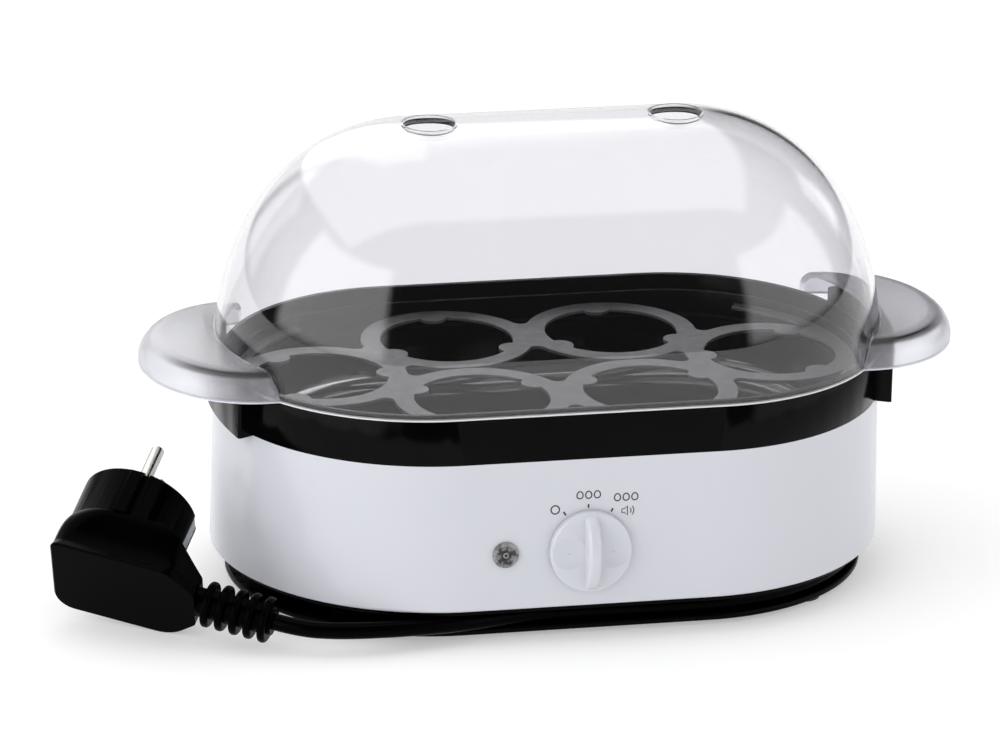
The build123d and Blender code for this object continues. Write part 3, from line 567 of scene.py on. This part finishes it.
def make_lid():
    """The clear lid in one smooth mesh: dome, two hollow grips and two vents."""
    top = DOME_LOW + DOME_HEIGHT
    shell = dome("dome_outer", DOME_RADIUS, DOME_HEIGHT, DOME_LOW)
    tools = []
    for side in (-1, 1):
        grip = grip_block("grip", side, 0, DOME_LOW, GRIP_TOP)
        tools.append(combine(grip, "DIFFERENCE", grip_block("grip_hollow", side, GRIP_WALL, DOME_LOW - 1,
                                                            GRIP_TOP - GRIP_WALL)))
        tools.append(combine(shell, "UNION", grip))
        lip = bore("vent_lip", side * VENT_X, VENT_RADIUS + VENT_LIP, top - 3, top + VENT_RISE)
        tools.append(combine(shell, "UNION", lip))
    inner = dome("dome_inner", DOME_RADIUS - LID_WALL, DOME_HEIGHT - LID_WALL + 0.05, DOME_LOW - 0.05)
    tools.append(combine(shell, "DIFFERENCE", inner))
    for side in (-1, 1):
        hole = bore("vent_hole", side * VENT_X, VENT_RADIUS, top - 20, top + 5)
        tools.append(combine(shell, "DIFFERENCE", hole))
    bpy.context.view_layer.update()
    whole = shell.evaluated_get(bpy.context.evaluated_depsgraph_get())
    mesh = bpy.data.meshes.new_from_object(whole)
    for made in tools + [shell]:
        bpy.data.objects.remove(made)
    mesh.polygons.foreach_set("use_smooth", [True] * len(mesh.polygons))
    mesh.set_sharp_from_angle(angle=math.radians(32))
    mesh.name = "clear_lid"
    mesh.materials.clear()
    mesh.materials.append(clear_lid())
    lid = bpy.data.objects.new("clear_lid", mesh)
    bpy.context.scene.collection.objects.link(lid)
    weighted = lid.modifiers.new("normals", "WEIGHTED_NORMAL")
    weighted.keep_sharp = True
    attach(lid, "lid")
    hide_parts("lid")


# ---- the mains lead, its places in millimetres ----
CORD_DIAMETER = 6.0 * MM
CORD_LEVEL = 7.9
TURN_CENTRE = 44.5
INNER_TURN = 60.2
OUTER_TURN = 67.0
CORD_RUN = [(0.0, -67.0, 7.9), (-13.0, -67.0, 7.9), (-29.0, -69.6, 7.9), (-45.0, -73.2, 7.9),
            (-62.0, -75.5, 8.3), (-77.8, -76.9, 8.9), (-90.8, -76.8, 9.4), (-102.42, -74.26, 9.95),
            (-111.17, -69.64, 11.42)]


def round_end(side, radius, start, steps=12):
    """Points of a half turn about one end of the winder, clockwise from start in degrees."""
    step = math.radians(180 / steps)
    reach = radius / math.cos(step / 2)
    turn = [math.radians(start) - step * k for k in range(steps + 1)]
    return [(side * TURN_CENTRE + reach * math.cos(a), reach * math.sin(a), CORD_LEVEL) for a in turn]


def cord_route():
    """One and a half turns round the winder, then the run to the plug's sleeve."""
    points = [(10.0, INNER_TURN, CORD_LEVEL), (26.0, INNER_TURN, CORD_LEVEL)]
    points += round_end(1, INNER_TURN, 90)
    points += round_end(-1, INNER_TURN, -90)
    points += [(x, OUTER_TURN, CORD_LEVEL) for x in (-27.0, 0.0, 26.0)]
    points += round_end(1, OUTER_TURN, 90)
    return points + CORD_RUN


def make_cord():
    """The lead as one spline, from its gland to the plug."""
    data = bpy.data.curves.new("mains_lead", "CURVE")
    data.dimensions = "3D"
    data.bevel_depth = CORD_DIAMETER / 2
    data.bevel_resolution = 6
    data.resolution_u = 8
    data.use_fill_caps = True
    spline = data.splines.new("NURBS")
    route = cord_route()
    spline.points.add(len(route) - 1)
    for point, place in zip(spline.points, route):
        point.co = (*(c * MM for c in place), 1.0)
    spline.order_u = 3
    spline.use_endpoint_u = True
    cord = bpy.data.objects.new("mains_lead", data)
    bpy.context.scene.collection.objects.link(cord)
    data.materials.append(satin_black("cord_black", 0.0003, 0.18, 0.25, 0.025, 2400))
    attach(cord, "base")
    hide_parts("power_cord", "cord_winding")


# ---- marks on the front panel ----
PANEL_FOOT = 0.0135
PANEL_FRONT = -0.078
PANEL_SLOPE = 3.5 / 53.5
MARK_HEIGHT = 0.00006


def panel_point(x, z, out=0.0):
    """A place on the front panel, given in millimetres across and up, metres out of it."""
    level = z * MM
    steep = math.hypot(1, PANEL_SLOPE)
    front = PANEL_FRONT + PANEL_SLOPE * (level - PANEL_FOOT)
    return Vector((x * MM, front - out / steep, level + out * PANEL_SLOPE / steep))


def arc(x, z, radius, first, last, steps, stretch=1.0):
    """Points of an arc on the panel in millimetres; stretch lengthens its upper half."""
    points = []
    for k in range(steps + 1):
        a = math.radians(first + (last - first) * k / steps)
        rise = math.sin(a) * (stretch if math.sin(a) > 0 else 1.0)
        points.append((x + radius * math.cos(a), z + radius * rise))
    return points


def stroke(name, points, width, closed=False):
    """A printed line on the panel: a flat ribbon with square ends, hardly raised."""
    half = width / 2
    count = len(points)
    ribbon = []
    for k, (x, z) in enumerate(points):
        before = points[k - 1] if k or closed else points[k]
        after = points[(k + 1) % count] if k < count - 1 or closed else points[k]
        along = Vector((after[0] - before[0], after[1] - before[1])).normalized()
        ribbon.append(((x - along.y * half, z + along.x * half), (x + along.y * half, z - along.x * half)))
    sides = [side for pair in ribbon for side in pair]
    corners = [panel_point(*side, out) for out in (MARK_HEIGHT, -MARK_HEIGHT) for side in sides]
    faces = []
    low = 2 * count
    for k in range(count if closed else count - 1):
        a, b = 2 * k, 2 * ((k + 1) % count)
        faces += [(a, a + 1, b + 1, b), (low + b, low + b + 1, low + a + 1, low + a)]
        faces += [(a, b, low + b, low + a), (a + 1, low + a + 1, low + b + 1, b + 1)]
    if not closed:
        last = 2 * (count - 1)
        faces += [(0, low, low + 1, 1), (last, last + 1, low + last + 1, low + last)]
    return make_piece(name, corners, faces)


def make_piece(name, corners, faces):
    """A flat-shaded mesh piece on the base."""
    mesh = bpy.data.meshes.new(name)
    mesh.from_pydata(corners, [], faces)
    mesh.validate()
    piece = bpy.data.objects.new(name, mesh)
    bpy.context.scene.collection.objects.link(piece)
    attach(piece, "base")
    return piece


def panel_ink():
    """Dark print on the panel."""
    made = Shader("panel_ink", grey(0.02), 0.4)
    made.vary_color(2600, grey(0.012), grey(0.035))
    made.vary_roughness(900, 0.34, 0.5)
    return made.material


def make_marks():
    """Three ticks round the dial and plain symbols: ring for off, eggs, eggs with a sounder."""
    eggs = [("symbol_cook", -1.5, 53.8), ("symbol_alarm_egg", 11.9, 52.3)]
    horn = [(10.4, 48.2), (11.3, 48.2), (12.4, 49.2), (12.4, 45.8), (11.3, 46.8), (10.4, 46.8)]
    marks = [("tick_off", [(-9.6, 47.0), (-10.4, 48.3)], 0.6, False),
             ("tick_cook", [(-1.5, 49.3), (-1.5, 50.6)], 0.6, False),
             ("tick_alarm", [(6.6, 47.4), (7.2, 48.6)], 0.6, False),
             ("symbol_off", arc(-13.4, 49.2, 1.5, 90, 450, 28)[:-1], 0.45, True),
             ("sounder_horn", horn, 0.32, True),
             ("sounder_wave_near", arc(12.4, 47.5, 1.3, -42, 42, 8), 0.32, False),
             ("sounder_wave_far", arc(12.4, 47.5, 2.3, -42, 42, 10), 0.32, False)]
    for name, x, z in eggs:
        for k in (-1, 0, 1):
            egg = arc(x + 3.1 * k, z, 1.1, 90, 450, 24, 1.35)[:-1]
            marks.append((f"{name}_{k + 2}", egg, 0.42, True))
    ink = panel_ink()
    for name, points, width, closed in marks:
        mark = stroke(name, points, width, closed)
        mark.data.materials.append(ink)


# ---- the lamp behind its lens ----
LAMP_FACETS = 12


def make_lamp_reflector():
    """Faceted cone with a bright rim and ribs inside the barrel of the lens."""
    rings = [(2.95, -0.0012, False), (2.55, -0.0015, False), (2.2, -0.0031, True), (1.15, -0.0046, True),
             (1.05, -0.0060, False)]
    corners = []
    for radius, out, ribbed in rings:
        for k in range(2 * LAMP_FACETS):
            a = math.pi * k / LAMP_FACETS
            rib = 0.0006 if ribbed and k % 2 else 0.0
            x = LAMP_PLACE[0] + radius * math.cos(a)
            z = LAMP_PLACE[1] + radius * math.sin(a)
            corners.append(panel_point(x, z, out + rib))
    around = 2 * LAMP_FACETS
    faces = []
    for ring in range(len(rings) - 1):
        for k in range(around):
            a, b = ring * around + k, ring * around + (k + 1) % around
            faces.append((a, b, b + around, a + around))
    reflector = make_piece("lamp_reflector", corners, faces)
    foil = metal("reflector_foil", (0.78, 0.78, 0.80), 0.12, 0.3, 900)
    reflector.data.materials.append(foil)


# ---- floor and light ----
FLOOR_HALF_WIDTH = 6.0
SEEN_WHITE = 1.02     # the background itself
ROOM_LIGHT = 0.545    # even light on rough surfaces
LEFT_RAISE = 0.95     # how much stronger that is from the far left
PANEL_SHARE = 0.33    # part of the panels' light that rough surfaces get
FRONT_DARK = 0.07     # what reflections show between the panels
# studio panels seen in reflections: turn from the front, height (degrees) and brightness
PANELS = [((-100, -30), (0, 41), 2.1), ((28, 95), (0, 38), 1.7), ((113, 126), (8, 27), 1.5),
          ((-156, -131), (1, 30), 0.9), ((-190, -164), (-90, 60), 0.9), ((164, 190), (-90, 60), 0.9)]
OVERHEAD = 1.4


def make_floor():
    """White floor, lifted by its own faint light so that only soft shadows show."""
    far = FLOOR_HALF_WIDTH
    mesh = bpy.data.meshes.new("floor")
    mesh.from_pydata([(-far, -far, 0), (far, -far, 0), (far, far, 0), (-far, far, 0)], [], [(0, 1, 2, 3)])
    floor = bpy.data.objects.new("floor", mesh)
    bpy.context.scene.collection.objects.link(floor)
    made = Shader("floor_white", grey(0.72), 0.9, Specular_IOR_Level=0.0)
    made.shader.inputs["Emission Color"].default_value = (1, 1, 1, 1)
    path = made.node("ShaderNodeLightPath")
    made.drive(made.spread(path.outputs["Diffuse Depth"], 0.37, 0.24, 0.0, 1.0), "Emission Strength")
    mesh.materials.append(made.material)


def make_light():
    """Even white room whose reflections show soft panels round a dark front."""
    world = bpy.data.worlds.new("studio")
    bpy.context.scene.world = world
    world.use_nodes = True
    world.cycles.sampling_method = "NONE"
    sky = Nodes(world.node_tree)
    x, y, z = sky.split(sky.node("ShaderNodeTexCoord").outputs["Generated"])
    turn = sky.math("DEGREES", sky.math("ARCTAN2", x, sky.math("MULTIPLY", y, -1.0)))
    height = sky.math("DEGREES", sky.math("ARCSINE", z))
    light = FRONT_DARK
    for turns, heights, strength in PANELS:
        panel = sky.math("MULTIPLY", sky.window(turn, *turns, 4), sky.window(height, *heights, 3))
        light = sky.math("MULTIPLY_ADD", panel, strength, light)
    above = sky.math("MAXIMUM", z, 0.02)
    across = sky.window(sky.math("DIVIDE", x, above), -1.0, 0.6, 0.08)
    behind = sky.spread(sky.math("DIVIDE", y, above), 0, 1, -0.42, -0.30, smooth=True)
    ceiling = sky.math("MULTIPLY", sky.math("MULTIPLY", across, behind), sky.spread(z, 0, 1, 0.0, 0.04))
    light = sky.math("MULTIPLY_ADD", ceiling, OVERHEAD, light)
    path = sky.node("ShaderNodeLightPath")
    glossy = sky.math("MINIMUM", path.outputs["Glossy Depth"], 1.0)
    diffuse = sky.math("MINIMUM", path.outputs["Diffuse Depth"], 1.0)
    seen = sky.math("ADD", sky.math("MULTIPLY", glossy, light),
                    sky.math("MULTIPLY", sky.math("SUBTRACT", 1.0, glossy), SEEN_WHITE))
    left = sky.spread(x, 1, 0, -0.95, -0.15, smooth=True)
    room = sky.math("MULTIPLY_ADD", left, LEFT_RAISE, ROOM_LIGHT)
    even = sky.math("MULTIPLY_ADD", light, PANEL_SHARE, room)
    whole = sky.math("ADD", sky.math("MULTIPLY", diffuse, even),
                     sky.math("MULTIPLY", sky.math("SUBTRACT", 1.0, diffuse), seen))
    background = world.node_tree.nodes["Background"]
    background.inputs["Color"].default_value = (1, 1, 1, 1)
    sky.join(whole, background.inputs["Strength"])
    bpy.context.scene.view_settings.view_transform = "Standard"


make_camera()
make_cord()
paint_cad_nodes()
soften(0.0005, "collar_ring", "plug_strain_relief", "egg_tray", "base_plate")
soften(0.0009, "plug_body")
make_lid()
make_marks()
make_lamp_reflector()
make_floor()
make_light()
